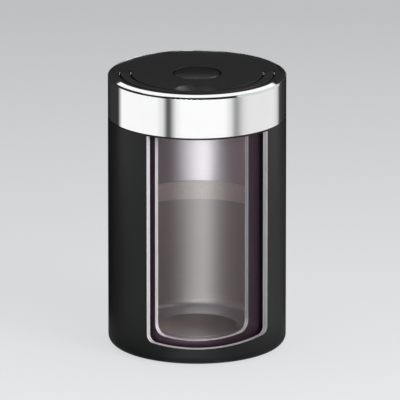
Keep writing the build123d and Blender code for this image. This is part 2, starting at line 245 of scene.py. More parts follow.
def take_apart(tree, vector):
    """The parts of a place, and the same place dropped onto the XY plane."""
    place = add_node(tree, "ShaderNodeSeparateXYZ", {0: vector}).outputs
    flat = add_node(tree, "ShaderNodeCombineXYZ", {"X": place["X"], "Y": place["Y"]})
    return place, flat.outputs[0]


def bump(tree, height, strength, distance, normal=None):
    """A normal with fine relief, laid over the surface's own normal or over the one given."""
    inputs = {"Height": height, "Strength": strength, "Distance": distance}
    if normal:
        inputs["Normal"] = normal
    return add_node(tree, "ShaderNodeBump", inputs).outputs["Normal"]


def chamfer(tree, own, mask, tilt):
    """The surface's normal, turned to that of a flat chamfer where mask is 1."""
    flat = take_apart(tree, own.outputs["Object"])[1]
    leant = vector_maths(tree, "ADD", vector_maths(tree, "NORMALIZE", flat), (0.0, 0.0, math.tan(tilt)))
    straight = vector_maths(tree, "NORMALIZE", leant)
    mixed = mix_kind(tree, "VECTOR", "Vector", mask, own.outputs["Normal"], straight)
    turned = add_node(
        tree,
        "ShaderNodeVectorTransform",
        {0: mixed},
        vector_type="NORMAL",
        convert_from="OBJECT",
        convert_to="WORLD",
    )
    return turned.outputs[0]


def new_material(name):
    """A material, its tree, its shader and the object's own coordinates and normal."""
    material = bpy.data.materials.new(name)
    material.use_nodes = True
    tree = material.node_tree
    own = add_node(tree, "ShaderNodeTexCoord")
    return material, tree, tree.nodes["Principled BSDF"], own


def set_surface(tree, output):
    """Makes a shader's output the surface of its material."""
    set_inputs(tree, tree.nodes["Material Output"], {"Surface": output})


# ---- Node groups that several finishes share ----


def new_group(name, inputs, outputs):
    """An empty node group with named value and vector sockets."""
    kinds = {"value": "NodeSocketFloat", "vector": "NodeSocketVector"}
    group = bpy.data.node_groups.new(name, "ShaderNodeTree")
    for socket, (kind, default) in inputs.items():
        made = group.interface.new_socket(socket, in_out="INPUT", socket_type=kinds[kind])
        if default is not None:
            made.default_value = default
    for socket, kind in outputs.items():
        group.interface.new_socket(socket, in_out="OUTPUT", socket_type=kinds[kind])
    return group, group.nodes.new("NodeGroupInput"), group.nodes.new("NodeGroupOutput")


def turned_group():
    """Where a point is on a turned piece: its radius, height and how far its face looks outwards."""
    group, given, result = new_group(
        "Turned place",
        {"Vector": ("vector", None), "Normal": ("vector", None)},
        {"Radius": "value", "Height": "value", "Outward": "value", "Rings": "vector"},
    )
    place, flat = take_apart(group, given.outputs["Vector"])
    radius = vector_maths(group, "LENGTH", flat)
    radial = vector_maths(group, "NORMALIZE", flat)
    depth = maths(group, "ADD", radius, place["Z"])
    rings = add_node(group, "ShaderNodeCombineXYZ", {"X": place["X"], "Y": place["Y"], "Z": depth})
    found = {
        "Radius": radius,
        "Height": place["Z"],
        "Outward": vector_maths(group, "DOT_PRODUCT", radial, given.outputs["Normal"]),
        "Rings": rings.outputs[0],
    }
    set_inputs(group, result, found)
    return group


def grain_group():
    """Fine moulded or sprayed grain, with slow patches of tone."""
    group, given, result = new_group(
        "Fine grain",
        {"Vector": ("vector", None), "Grain": ("value", 2200.0), "Patches": ("value", 35.0)},
        {"Height": "value", "Patch": "value"},
    )
    vector = given.outputs["Vector"]
    fine = noise(group, vector, given.outputs["Grain"], detail=3.0)
    patch = noise(group, vector, given.outputs["Patches"], detail=2.0)
    set_inputs(group, result, {"Height": fine, "Patch": patch})
    return group


def brushed_group():
    """Fine lines that run round a turned piece."""
    group, given, result = new_group(
        "Turned brushing",
        {"Rings": ("vector", None), "Fineness": ("value", 9000.0), "Run": ("value", 60.0)},
        {"Lines": "value"},
    )
    parts = add_node(group, "ShaderNodeSeparateXYZ", {0: given.outputs["Rings"]}).outputs
    stretch = {
        part: maths(group, "MULTIPLY", parts[part], given.outputs[scale])
        for part, scale in (("X", "Run"), ("Y", "Run"), ("Z", "Fineness"))
    }
    scaled = add_node(group, "ShaderNodeCombineXYZ", stretch)
    set_inputs(group, result, {"Lines": noise(group, scaled.outputs[0], scale=1.0, detail=2.0)})
    return group


def place_group(tree, name, build, inputs):
    """A node that holds a shared group, which is built when it is first placed."""
    group = bpy.data.node_groups.get(name) or build()
    return add_node(tree, "ShaderNodeGroup", inputs, node_tree=group)


def place_turned(tree, own):
    inputs = {"Vector": own.outputs["Object"], "Normal": own.outputs["Normal"]}
    return place_group(tree, "Turned place", turned_group, inputs)


def place_grain(tree, own, grain, patches=35.0):
    inputs = {"Vector": own.outputs["Object"], "Grain": grain, "Patches": patches}
    return place_group(tree, "Fine grain", grain_group, inputs)


def place_brushing(tree, turned, fineness=9000.0, run=60.0):
    inputs = {"Rings": turned.outputs["Rings"], "Fineness": fineness, "Run": run}
    return place_group(tree, "Turned brushing", brushed_group, inputs)


# ---- Finishes ----

# Where one finish gives way to the next: heights above the ground and radii from the axis,
# or lengths from the face or edge that is named.
CRISP = 0.02 * MM  # half the width of a change at a crisp edge
SOFT = 0.05 * MM
COAT_DEPTH = 0.6 * MM  # inwards from the outside of the shell
COAT_OUTWARD = 0.6  # a face of the skin is coated where it looks outwards more than this
FOOT_COAT_TOP = 5.6 * MM
SHOULDER_COAT = 0.9 * MM  # down from the band
SHELL_LIP_INNER = 46.7 * MM
SHELL_LIP_MIDDLE = 48.3 * MM
SHELL_GROOVE = 0.35 * MM  # half the width of the line along the middle of the lip
GROOVE_SOFTNESS = 0.2 * MM
NECK_FOOT = 132.0 * MM
OUTWARD = 0.5  # a face of the wall looks outwards above this, and inwards below its negative
OUTWARD_SOFTNESS = 0.1
SEAM_ROOM = 0.05 * MM  # from the seam of the vessel up to its polished lip
VESSEL_LIP_MIDDLE = 1.4 * MM  # inwards from the outside of the vessel
VESSEL_GROOVE = 0.3 * MM
FILL_TOP = 81.3 * MM
FILL_FOOT = 70.8 * MM
PLATEAU_RADIUS = 23.0 * MM
PLATEAU_SOFTNESS = 2.0 * MM
FLOOR_TOP = 14.0 * MM  # over everything on the vessel's floor
FLOOR_UP = 0.6  # a face of the floor looks up more than this
ROLLED_FOOT = 2.12 * MM  # down from the crest of the band's rim
ROLLED_TOP = 1.15 * MM
ROLLED_TILT = math.radians(30)

# along X, where painted shade darkens the foil towards the right and lightens again, and how softly
FOIL_SHADE_LEFT = 5.0 * MM
FOIL_SHADE_RIGHT = 35.0 * MM
FOIL_SHADE_LEFT_SOFTNESS = 22.0 * MM
FOIL_SHADE_RIGHT_SOFTNESS = 3.0 * MM
FOIL_PAINTED_SHADE = 0.36  # darkest painted shade as a share of the foil's colour

LIP_METAL = 0.45  # how much of the cut edges' brightness comes from what they reflect
LINE_RELIEF = 0.02 * MM

CHROME = (0.97, 0.97, 0.975)
BRIGHT_STEEL = (0.62, 0.62, 0.63)
ROLLED_STEEL = (0.60, 0.59, 0.59)
DULL_STEEL = (0.45, 0.45, 0.46)
LINER_GREY = (0.40, 0.40, 0.41)
RUBBER_BLACK = (0.02, 0.02, 0.02)
SILICONE_GREY = (0.48, 0.48, 0.50)
FOAM_CELLS = (0.74, 0.70, 0.58)
FOAM_WALLS = (0.88, 0.85, 0.76)


def shade(colour, share):
    """A darker or lighter shade of a colour."""
    return tuple(min(share * part, 1.0) for part in colour)


def vary(tree, colour, mask, spread):
    """colour, a little darker where mask is low and lighter where it is high."""
    return mix_colours(tree, mask, shade(colour, 1 - spread), shade(colour, 1 + spread))


def groove_line(tree, radius, middle, half_width):
    """1 on the fine line along the middle of a cut edge."""
    away = maths(tree, "ABSOLUTE", maths(tree, "SUBTRACT", radius, middle))
    return under(tree, away, half_width, GROOVE_SOFTNESS)


def shell_finish(finish):
    """Black coat outside, bare steel inside and polished steel on the lip round the window."""
    material, tree, shader, own = new_material("black_coat_and_steel")
    turned = place_turned(tree, own)
    radius, height, outward = (turned.outputs[name] for name in ("Radius", "Height", "Outward"))
    lines = place_brushing(tree, turned).outputs["Lines"]
    grain = place_grain(tree, own, grain=1500.0)

    # where each finish lies
    skin = step_up(tree, radius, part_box("outer_shell")[1].x - COAT_DEPTH, SOFT)
    outside = maths(tree, "MULTIPLY", skin, step_up(tree, outward, COAT_OUTWARD, 0.05))
    band_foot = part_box("lid_band")[0].z
    shoulder = between(tree, height, band_foot - SHOULDER_COAT, band_foot, CRISP)
    coat = maths(tree, "MAXIMUM", outside, under(tree, height, FOOT_COAT_TOP, CRISP))
    coat = maths(tree, "MAXIMUM", coat, shoulder)
    lip = maths(tree, "SUBTRACT", step_up(tree, radius, SHELL_LIP_INNER, SOFT), coat, True)
    groove = groove_line(tree, radius, SHELL_LIP_MIDDLE, SHELL_GROOVE)

    edge = mix_colours(tree, groove, finish.edge_colour, shade(finish.edge_colour, 0.75))
    steel = mix_colours(tree, lip, vary(tree, finish.steel_colour, lines, 0.12), edge)
    black = vary(tree, finish.coat_colour, grain.outputs["Patch"], 0.12)
    relief = mix_values(tree, coat, lines, grain.outputs["Height"])
    looks = {
        "Base Color": mix_colours(tree, coat, steel, black),
        "Metallic": mix_values(tree, coat, mix_values(tree, lip, 1.0, LIP_METAL), 0.0),
        "Roughness": mix_values(tree, coat, mix_values(tree, lip, 0.3, 0.4), 0.36),
        "Specular IOR Level": 0.3,
        "Normal": bump(tree, relief, 0.06, LINE_RELIEF),
    }
    set_inputs(tree, shader, looks)
    return material


def floor_face(tree, own, height):
    """1 on the upper face of the vessel's floor."""
    facing = add_node(tree, "ShaderNodeSeparateXYZ", {0: own.outputs["Normal"]})
    up = step_up(tree, facing.outputs["Z"], FLOOR_UP, 0.2)
    return maths(tree, "MULTIPLY", up, under(tree, height, FLOOR_TOP, 0.5 * MM))


def vessel_finish(finish):
    """Brushed steel inside with a frosted fill band, polished lips, and the foil's tone under the foil."""
    material, tree, shader, own = new_material("satin_steel")
    turned = place_turned(tree, own)
    radius, height, outward = (turned.outputs[name] for name in ("Radius", "Height", "Outward"))
    lines = place_brushing(tree, turned).outputs["Lines"]
    speckle = place_grain(tree, own, grain=1100.0, patches=60.0).outputs["Height"]

    # where each finish lies
    below_neck = under(tree, height, NECK_FOOT, 0.2 * MM)
    outside = maths(tree, "MULTIPLY", step_up(tree, outward, OUTWARD, OUTWARD_SOFTNESS), below_neck)
    inside = under(tree, outward, -OUTWARD, OUTWARD_SOFTNESS)
    neither = maths(tree, "SUBTRACT", 1.0, maths(tree, "MAXIMUM", outside, inside), True)
    seam_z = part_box("vessel_tube")[0].z
    above_seam = step_up(tree, height, seam_z + SEAM_ROOM, CRISP)
    lip = maths(tree, "MULTIPLY", maths(tree, "MULTIPLY", neither, below_neck), above_seam)
    outer_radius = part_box("vessel_floor")[1].x
    groove = groove_line(tree, radius, outer_radius - VESSEL_LIP_MIDDLE, VESSEL_GROOVE)
    below_fill = under(tree, height, FILL_TOP, 0.15 * MM)
    frosted = maths(tree, "SUBTRACT", below_fill, under(tree, height, FILL_FOOT, 0.4 * MM))
    face = floor_face(tree, own, height)
    plateau = maths(tree, "MULTIPLY", under(tree, radius, PLATEAU_RADIUS, PLATEAU_SOFTNESS), face)
    ring = maths(tree, "SUBTRACT", face, plateau, True)

    bright = vary(tree, finish.steel_colour, lines, 0.06)
    dull = vary(tree, finish.worn_colour, lines, 0.10)
    frost = vary(tree, finish.frost_colour, speckle, 0.18)
    # painted shade: the floor's middle is darker than the steel, partly a blasted finish and partly
    # painted shade
    blasted_painted_shade = vary(tree, finish.floor_colour, speckle, 0.10)
    edge = mix_colours(tree, groove, finish.edge_colour, shade(finish.edge_colour, 0.8))
    colour = mix_colours(tree, below_fill, bright, mix_colours(tree, frosted, dull, frost))
    colour = mix_colours(tree, plateau, colour, blasted_painted_shade)
    colour = mix_colours(tree, lip, colour, edge)
    colour = mix_colours(tree, ring, colour, shade(finish.edge_colour, 0.88))
    metal = mix_values(tree, below_fill, 1.0, mix_values(tree, frosted, 0.65, 0.60))
    metal = mix_values(tree, plateau, metal, 0.3)
    metal = mix_values(tree, ring, metal, 0.9)
    rough = mix_values(tree, below_fill, 0.46, mix_values(tree, frosted, 0.5, 0.55))
    rough = mix_values(tree, plateau, rough, 0.7)
    rough = mix_values(tree, ring, rough, 0.3)
    relief = mix_values(tree, frosted, lines, speckle)
    looks = {
        "Base Color": mix_colours(tree, outside, colour, finish.foil_colour),
        "Metallic": mix_values(tree, maths(tree, "MAXIMUM", lip, outside), metal, LIP_METAL),
        "Roughness": mix_values(tree, lip, rough, 0.4),
        "Anisotropic": 0.7,
        "Anisotropic Rotation": 0.25,  # the lines run round, so highlights stretch up and down
        "Normal": bump(tree, relief, 0.08, LINE_RELIEF),
    }
    set_inputs(tree, shader, looks)
    return material


def foil_finish(finish):
    """Dark aubergine foil with slight creases, with painted shade that darkens it towards the right."""
    material, tree, shader, own = new_material("dark_foil")
    place = add_node(tree, "ShaderNodeSeparateXYZ", {0: own.outputs["Object"]})
    creases = noise(tree, own.outputs["Object"], scale=160.0, detail=4.0, distortion=0.6)
    tint = vary(tree, finish.foil_colour, creases, 0.2)
    # painted shade: a darker copy of the foil's colour, laid on between two places along X towards the
    # right
    painted_shade_tint = vary(tree, shade(finish.foil_colour, FOIL_PAINTED_SHADE), creases, 0.2)
    painted_shade_mask = between(
        tree,
        place.outputs["X"],
        FOIL_SHADE_LEFT,
        FOIL_SHADE_RIGHT,
        FOIL_SHADE_LEFT_SOFTNESS,
        FOIL_SHADE_RIGHT_SOFTNESS,
    )
    looks = {
        "Base Color": mix_colours(tree, painted_shade_mask, tint, painted_shade_tint),
        "Metallic": 0.3,
        "Specular IOR Level": 0.3,
        "Roughness": mix_values(tree, creases, 0.36, 0.46),
        "Normal": bump(tree, creases, 0.12, 0.1 * MM),
    }
    set_inputs(tree, shader, looks)
    return material


def plain_steel_finish(name, colour, roughness):
    """Steel with fine lines round it."""
    material, tree, shader, own = new_material(name)
    lines = place_brushing(tree, place_turned(tree, own), fineness=7000.0).outputs["Lines"]
    looks = {
        "Base Color": vary(tree, colour, lines, 0.12),
        "Metallic": 1.0,
        "Roughness": mix_values(tree, lines, roughness - 0.06, roughness + 0.06),
        "Normal": bump(tree, lines, 0.08, LINE_RELIEF),
    }
    set_inputs(tree, shader, looks)
    return material


def chrome_finish():
    """Mirror chrome with the faintest polishing haze and a rolled edge under the band's rim."""
    material, tree, shader, own = new_material("mirror_chrome")
    turned = place_turned(tree, own)
    height, top = turned.outputs["Height"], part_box("lid_band")[1].z
    lines = place_brushing(tree, turned, fineness=5000.0, run=30.0).outputs["Lines"]
    haze = place_grain(tree, own, grain=600.0, patches=90.0).outputs["Patch"]
    rolled = between(tree, height, top - ROLLED_FOOT, top - ROLLED_TOP, 0.04 * MM)
    rolled = maths(tree, "MULTIPLY", rolled, step_up(tree, turned.outputs["Outward"], 0.15, 0.05))
    looks = {
        "Base Color": vary(tree, CHROME, haze, 0.02),
        "Metallic": 1.0,
        "Roughness": mix_values(tree, lines, 0.03, 0.06),
        "Normal": bump(tree, lines, 0.01, 0.01 * MM, chamfer(tree, own, rolled, ROLLED_TILT)),
    }
    set_inputs(tree, shader, looks)
    return material


def plastic_finish(name, colour, roughness, grain, depth, specular=0.24):
    """Moulded plastic with a fine grain."""
    material, tree, shader, own = new_material(name)
    moulded = place_grain(tree, own, grain)
    patch = moulded.outputs["Patch"]
    looks = {
        "Base Color": vary(tree, colour, patch, 0.1),
        "Roughness": mix_values(tree, patch, roughness - 0.04, roughness + 0.04),
        "Specular IOR Level": specular,
        "Normal": bump(tree, moulded.outputs["Height"], depth, 0.05 * MM),
    }
    set_inputs(tree, shader, looks)
    return material


def silicone_finish():
    """Soft translucent grey silicone."""
    material, tree, shader, own = new_material("grey_silicone")
    moulded = place_grain(tree, own, grain=1800.0, patches=120.0)
    patch = moulded.outputs["Patch"]
    looks = {
        "Base Color": vary(tree, SILICONE_GREY, patch, 0.08),
        "Roughness": mix_values(tree, patch, 0.48, 0.58),
        "Subsurface Weight": 0.3,
        "Subsurface Scale": 1.5 * MM,
        "Normal": bump(tree, moulded.outputs["Height"], 0.1, 0.03 * MM),
    }
    set_inputs(tree, shader, looks)
    return material


def foam_finish():
    """Poured foam with open cells."""
    material, tree, shader, own = new_material("poured_foam")
    cells = add_node(tree, "ShaderNodeTexVoronoi", {"Vector": own.outputs["Object"], "Scale": 900.0})
    depth = cells.outputs["Distance"]
    looks = {
        "Base Color": mix_colours(tree, depth, FOAM_CELLS, FOAM_WALLS),
        "Roughness": 0.9,
        "Normal": bump(tree, depth, 0.6, 0.4 * MM),
    }
    set_inputs(tree, shader, looks)
    return material


def dress(nodes, material):
    """Gives CAD nodes one finish."""
    for name in nodes:
        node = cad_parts[name]
        node.data.materials.clear()
        node.data.materials.append(material)


# ---- Mesh helpers ----


def make_object(name, mesh):
    """An object in the scene with the mesh of a bmesh, which it frees."""
    data = bpy.data.meshes.new(name)
    mesh.to_mesh(data)
    mesh.free()
    made = bpy.data.objects.new(name, data)
    bpy.context.scene.collection.objects.link(made)
    return made


def finish_piece(name, mesh, material, body):
    """Turns a bmesh into a smooth, closed piece that rides on a body."""
    bmesh.ops.remove_doubles(mesh, verts=mesh.verts, dist=0.001 * MM)
    bmesh.ops.recalc_face_normals(mesh, faces=mesh.faces)
    piece = make_object(name, mesh)
    piece.data.shade_smooth()
    piece.data.set_sharp_from_angle(angle=math.radians(50))
    piece.data.materials.append(material)
    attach(piece, body)
    return piece


def round_section(radius, height, size, count):
    """(radius, height) corners of a small round section."""
    turns = (2 * math.pi * step / count for step in range(count))
    return [(radius + size * math.cos(turn), height + size * math.sin(turn)) for turn in turns]


def face_from(mesh, corners):
    """A face in the XZ plane from (radius, height) corners."""
    return mesh.faces.new([mesh.verts.new((r, 0.0, z)) for r, z in corners])


def sweep_face(mesh, face, rise, angle, steps):
    """Sweeps a face round the axis while it climbs, and gives the vertices of the last face."""
    swept = bmesh.ops.spin(
        mesh,
        geom=[face, *face.edges, *face.verts],
        cent=(0, 0, 0),
        axis=(0, 0, 1),
        dvec=(0, 0, rise / steps),
        angle=angle,
        steps=steps,
        use_merge=False,
        use_duplicate=False,
    )
    return [item for item in swept["geom_last"] if isinstance(item, bmesh.types.BMVert)]


def turned_ring(corners, segments):
    """A closed ring about the axis from (radius, height) corners."""
    mesh = bmesh.new()
    face = face_from(mesh, corners)
    bmesh.ops.spin(
        mesh,
        geom=[*face.edges],
        cent=(0, 0, 0),
        axis=(0, 0, 1),
        dvec=(0, 0, 0),
        angle=2 * math.pi,
        steps=segments,
        use_merge=True,
        use_duplicate=False,
    )
    if face.is_valid:
        bmesh.ops.delete(mesh, geom=[face], context="FACES_ONLY")
    return mesh


def run_out(mesh, verts, foot):
    """Shrinks the end of a ridge towards its foot, so that it fades into the wall."""
    middle = sum((vert.co for vert in verts), Vector()) / len(verts)
    root = Vector((middle.x, middle.y, 0.0)).normalized() * foot + Vector((0.0, 0.0, middle.z))
    bmesh.ops.scale(mesh, vec=(RIDGE_END,) * 3, space=Matrix.Translation(-root), verts=verts)


def is_crest(edge, radius):
    """Whether an edge runs along the top of a ridge."""
    level = all(abs(vert.co.xy.length - radius) < 0.01 * MM for vert in edge.verts)
    along = edge.verts[0].co - edge.verts[1].co
    return level and abs(along.z) < 0.5 * along.length


def thread_ridges(threads, wall, reach, low):
    """The separate ridges of a thread: they stand on a wall and reach in or out, from a height upwards."""
    mesh = bmesh.new()
    sunk = wall - math.copysign(RIDGE_SUNK, reach)
    half = threads.ridge_width / 2
    crest = RIDGE_CREST * half
    rise = threads.lead * threads.sweep / (2 * math.pi)
    foot = (sunk, low - half), (sunk, low + half)
    top = (wall + reach, low - crest), (wall + reach, low + crest)
    for start in range(threads.starts):
        face = face_from(mesh, (foot[0], *top, foot[1]))
        turn = Matrix.Rotation(start * 2 * math.pi / threads.starts, 3, "Z")
        bmesh.ops.rotate(mesh, verts=face.verts, cent=(0, 0, 0), matrix=turn)
        first = list(face.verts)
        last = sweep_face(mesh, face, rise, threads.sweep, RIDGE_STEPS)
        for end in (first, last):
            run_out(mesh, end, wall)
    crests = [edge for edge in mesh.edges if is_crest(edge, wall + reach)]
    bmesh.ops.bevel(
        mesh, geom=crests, offset=RIDGE_ROUND, affect="EDGES", segments=2, profile=0.5, material=-1
    )
    return mesh


# ---- Operators ----


class JAR_OT_finish_body(Operator):
    """Gives the jar's shell, vessel, foil and foot their finishes"""

    bl_idname = "jar.finish_body"
    bl_label = "Finish Body"

    def execute(self, context):
        finish = context.scene.jar_finish
        dress(["outer_shell"], shell_finish(finish))
        dress(["vessel_tube", "vessel_floor"], vessel_finish(finish))
        dress(["copper_wrap"], foil_finish(finish))
        dull_steel = plain_steel_finish("dull_steel", DULL_STEEL, roughness=0.42)
        dress(["bottom_closure", "getter", "evacuation_seal"], dull_steel)
        black = finish.plastic_colour
        foot = plastic_finish("foot_plastic", black, roughness=0.5, grain=1800.0, depth=0.15)
        dress(["base_cover"], foot)
        rubber = plastic_finish("pad_rubber", RUBBER_BLACK, roughness=0.8, grain=1200.0, depth=0.4)
        dress(["base_pad"], rubber)
        return {"FINISHED"}


class JAR_OT_finish_lid(Operator):
    """Gives the lid's band, cover, handle, liner, seals and rod their finishes"""

    bl_idname = "jar.finish_lid"
    bl_label = "Finish Lid"

    def execute(self, context):
        black = context.scene.jar_finish.plastic_colour
        dress(["lid_band"], chrome_finish())
        cover = plastic_finish("lid_plastic", black, roughness=0.34, grain=1800.0, depth=0.1)
        dress(["lid_cover", "lid_skirt"], cover)
        dress(["handle"], plastic_finish("handle_plastic", black, roughness=0.38, grain=1800.0, depth=0.1))
        liner = plastic_finish("liner_plastic", LINER_GREY, roughness=0.5, grain=1500.0, depth=0.12)
        dress(["lid_liner", "vent_bush"], liner)
        dress(["lid_gasket", "valve_seal"], silicone_finish())
        dress(["lid_foam"], foam_finish())
        bright_steel = plain_steel_finish("bright_steel", BRIGHT_STEEL, roughness=0.25)
        dress(["handle_pins", "vent_stem", "stem_clip"], bright_steel)
        button = plastic_finish(
            "button_plastic", black, roughness=0.22, grain=2400.0, depth=0.05, specular=0.6
        )
        dress(["vent_button"], button)
        return {"FINISHED"}


class JAR_OT_add_threads(Operator):
    """Adds the neck's thread, the lid's thread and the weld round the mouth"""

    bl_idname = "jar.add_threads"
    bl_label = "Add Threads"

    def execute(self, context):
        threads = context.scene.jar_threads
        steel = plain_steel_finish("rolled_steel", ROLLED_STEEL, roughness=0.3)
        neck = thread_ridges(threads, NECK_RADIUS, threads.ridge_height, NECK_THREAD_Z)
        finish_piece("neck_thread", neck, steel, "jar")
        plastic = bpy.data.materials["liner_plastic"]
        mated_z = NECK_THREAD_Z - threads.lead / threads.starts / 2
        liner = thread_ridges(threads, LINER_BORE, -threads.ridge_height, mated_z)
        finish_piece("liner_thread", liner, plastic, "lid")
        joint_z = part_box("outer_shell")[1].z  # where the shell meets the vessel's flange
        bead = round_section(NECK_RADIUS, joint_z, WELD_ROUND, 8)
        finish_piece("mouth_weld", turned_ring(bead, WELD_SEGMENTS), steel, "jar")
        return {"FINISHED"}


class JAR_OT_wind_spring(Operator):
    """Winds the button's spring"""

    bl_idname = "jar.wind_spring"
    bl_label = "Wind Spring"

    def execute(self, context):
        low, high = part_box("vent_spring")
        wire = SPRING_WIRE / 2
        mesh = bmesh.new()
        section = face_from(mesh, round_section(SPRING_RADIUS, low.z + wire, wire, 12))
        rise = high.z - low.z - SPRING_WIRE
        sweep_face(mesh, section, rise, SPRING_TURNS * 2 * math.pi, SPRING_TURNS * SPRING_STEPS)
        spring = finish_piece("spring_coil", mesh, bpy.data.materials["bright_steel"], "lid")
        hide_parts("vent_spring")
        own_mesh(spring)
        return {"FINISHED"}


class JAR_OT_set_stage(Operator):
    """Makes the pale floor, the soft light and the camera"""

    bl_idname = "jar.set_stage"
    bl_label = "Set Stage"

    def execute(self, context):
        studio = context.scene.jar_studio
        make_floor(studio)
        make_tent()
        make_lights(studio)
        make_world()
        make_camera()
        context.scene.view_settings.view_transform = "Standard"
        return {"FINISHED"}


# ---- Camera ----

CAMERA_ELEVATION = math.radians(16.27)
CAMERA_DISTANCE = 6.0
CAMERA_TARGET = Vector((0.0, 0.0, 0.078))
FIELD_WIDTH = 0.22465  # width of the view at the target
CAMERA_SHIFT = (0.0073, 0.0191)
SENSOR_WIDTH = 36.0


def make_camera():
    """The camera, which looks down on the jar from in front."""
    data = bpy.data.cameras.new("camera")
    data.sensor_fit = "HORIZONTAL"
    data.sensor_width = SENSOR_WIDTH
    data.lens = SENSOR_WIDTH * CAMERA_DISTANCE / FIELD_WIDTH
    data.shift_x, data.shift_y = CAMERA_SHIFT
    data.clip_start = 0.1
    camera = bpy.data.objects.new("camera", data)
    back = Vector((0.0, -math.cos(CAMERA_ELEVATION), math.sin(CAMERA_ELEVATION)))
    camera.location = CAMERA_TARGET + back * CAMERA_DISTANCE
    camera.rotation_euler = (math.radians(90) - CAMERA_ELEVATION, 0.0, 0.0)
    bpy.context.scene.collection.objects.link(camera)
    bpy.context.scene.camera = camera


# ---- Cards and panels that only polished surfaces see ----

# On the floor round the jar: twice the angle that the surface faces from the front
# towards +X, in degrees, and the brightness of the card there.
BAND_CARDS = (
    (-180, 0.30),
    (-172, 0.012),
    (-145, 0.034),
    (-123, 0.036),
    (-114, 0.97),
    (-54, 0.97),
    (-45, 0.74),
    (-39, 0.10),
    (-35.5, 0.11),
    (-27, 0.84),
    (-20, 1.0),
    (36, 1.0),
    (44, 0.76),
    (50.5, 0.35),
    (53.5, 0.35),
    (62, 0.68),
    (70, 0.79),
    (117, 0.80),
    (127, 0.62),
    (134, 0.06),
    (145, 0.036),
    (172, 0.012),
    (180, 0.30),
)
COAT_CARDS = (
    (-180, 0.01),
    (-150, 0.012),
    (-120, 0.10),
    (-88, 0.60),
    (-72, 0.60),
    (-62, 0.45),
    (-46, 0.45),
    (-38, 0.03),
    (38, 0.03),
    (48, 0.50),
    (70, 0.60),
    (78, 0.74),
    (100, 0.70),
    (120, 0.34),
    (150, 0.06),
    (180, 0.01),
)
CARD_PEAK = 10.0  # a ramp holds brightness as a share of this
CARD_SPLIT = 0.40  # from the axis: nearer cards show in the body, further ones in the band
CLOSE_EDGE = 0.085  # from the axis: nearer than this the floor lies in the jar's own shade
CLOSE_AHEAD = (0.035, 0.035, 0.035)
CLOSE_BESIDE = (0.014, 0.014, 0.014)

# The low panel in front, which puts a streak down the inside of the vessel: the angle from
# the front towards +X, in degrees, and the brightness there before its gain.
FRONT_PANEL = (
    (-180, 0.02),
    (-38, 0.02),
    (-32, 3.0),
    (-27, 7.6),
    (-20, 9.2),
    (-9, 8.8),
    (-2, 5.6),
    (8, 4.9),
    (18, 2.7),
    (28, 1.3),
    (36, 0.02),
    (180, 0.02),
)
FRONT_GAIN = 1.42
FRONT_TINT = (0.87, 1.0, 0.975)
FRONT_RISE = 17  # top of the panel over the lid, in degrees
FRONT_SOFTNESS = 4
FRONT_DARK = 0.02  # brightness above the panel

# The dome, whose panels lie between two angles that are in degrees, like the softness of
# their edges: a side is an angle round the jar from behind, and a rise is over the lid.
TENT_RADIUS = 2.5
TENT_CUT = 0.01  # height of the dome's rim
TENT_BACK = 0.25  # the low panel gives way to the others behind this Y
PANEL_EDGE = 1
FLANK_SIDE = (12, 28)
LEFT_SILL = 28.5
RIGHT_SILL = 30.0
OVERHEAD_RISE = (54, 71)
PANEL_LEVEL = 1.0
GLOW_RISE = (24, 38, 5, 3)
GLOW_LEVEL = 0.6
LAMP_SIDE = (29, 48)
LAMP_RISE = (34, 53)
LAMP_LEVEL = 6.0
SOFT_SIDE = (50, 121, 3)
SOFT_RISE = (5, 50, 1, 4)
SOFT_LEVEL = 0.7
DIM_SIDE = 10
DIM_SOFTNESS = 4
DIM_BEHIND = 0.016
DIM_BESIDE = 0.026


def card_ramp(tree, angle, cards):
    """A colour ramp that holds the brightness of cards round the jar, for an angle from the front."""
    turn = add_node(
        tree, "ShaderNodeMapRange", {"Value": angle, "From Min": -math.pi, "From Max": math.pi}
    )
    ramp = add_node(tree, "ShaderNodeValToRGB", {"Fac": turn.outputs["Result"]})
    stops = ramp.color_ramp.elements
    while len(stops) < len(cards):
        stops.new(0.5)
    for stop, (degrees, brightness) in zip(stops, cards):
        stop.position = (degrees + 180) / 360
        stop.color = (*[brightness / CARD_PEAK] * 3, 1.0)
    return ramp.outputs["Color"]


def from_front(tree, place):
    """The angle round the jar from the front towards +X."""
    return maths(tree, "ARCTAN2", place["X"], maths(tree, "MULTIPLY", place["Y"], -1.0))


def floor_cards(tree, place, flat):
    """What polished surfaces see on the floor, turned back for the jar's own width."""
    around = from_front(tree, place)
    distance = vector_maths(tree, "LENGTH", flat)
    lean = maths(tree, "SINE", maths(tree, "MULTIPLY", around, 0.5))
    spread = maths(tree, "DIVIDE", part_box("lid_band")[1].x, maths(tree, "MAXIMUM", distance, 0.05))
    around = maths(tree, "ADD", around, maths(tree, "MULTIPLY", lean, spread))
    cards = mix_colours(
        tree,
        step_up(tree, distance, CARD_SPLIT, 0.01),
        card_ramp(tree, around, COAT_CARDS),
        card_ramp(tree, around, BAND_CARDS),
    )
    ahead = step_up(tree, maths(tree, "COSINE", around), 0.85, 0.1)
    close = mix_colours(tree, ahead, CLOSE_BESIDE, CLOSE_AHEAD)
    return mix_colours(tree, step_up(tree, distance, CLOSE_EDGE, 0.02), close, cards)


def arc(tree, angle, low, high, softness=PANEL_EDGE, high_softness=None):
    """1 where an angle lies between two others, which are in degrees like their softness."""
    high_softness = softness if high_softness is None else high_softness
    return between(tree, angle, *map(math.radians, (low, high, softness, high_softness)))


def front_panel(tree, place, rise):
    """The low panel in front of the jar."""
    ramp = card_ramp(tree, from_front(tree, place), FRONT_PANEL)
    levels = maths(tree, "MULTIPLY", ramp, FRONT_GAIN * CARD_PEAK)
    low = under(tree, rise, math.radians(FRONT_RISE), math.radians(FRONT_SOFTNESS))
    return mix_values(tree, low, FRONT_DARK, levels)


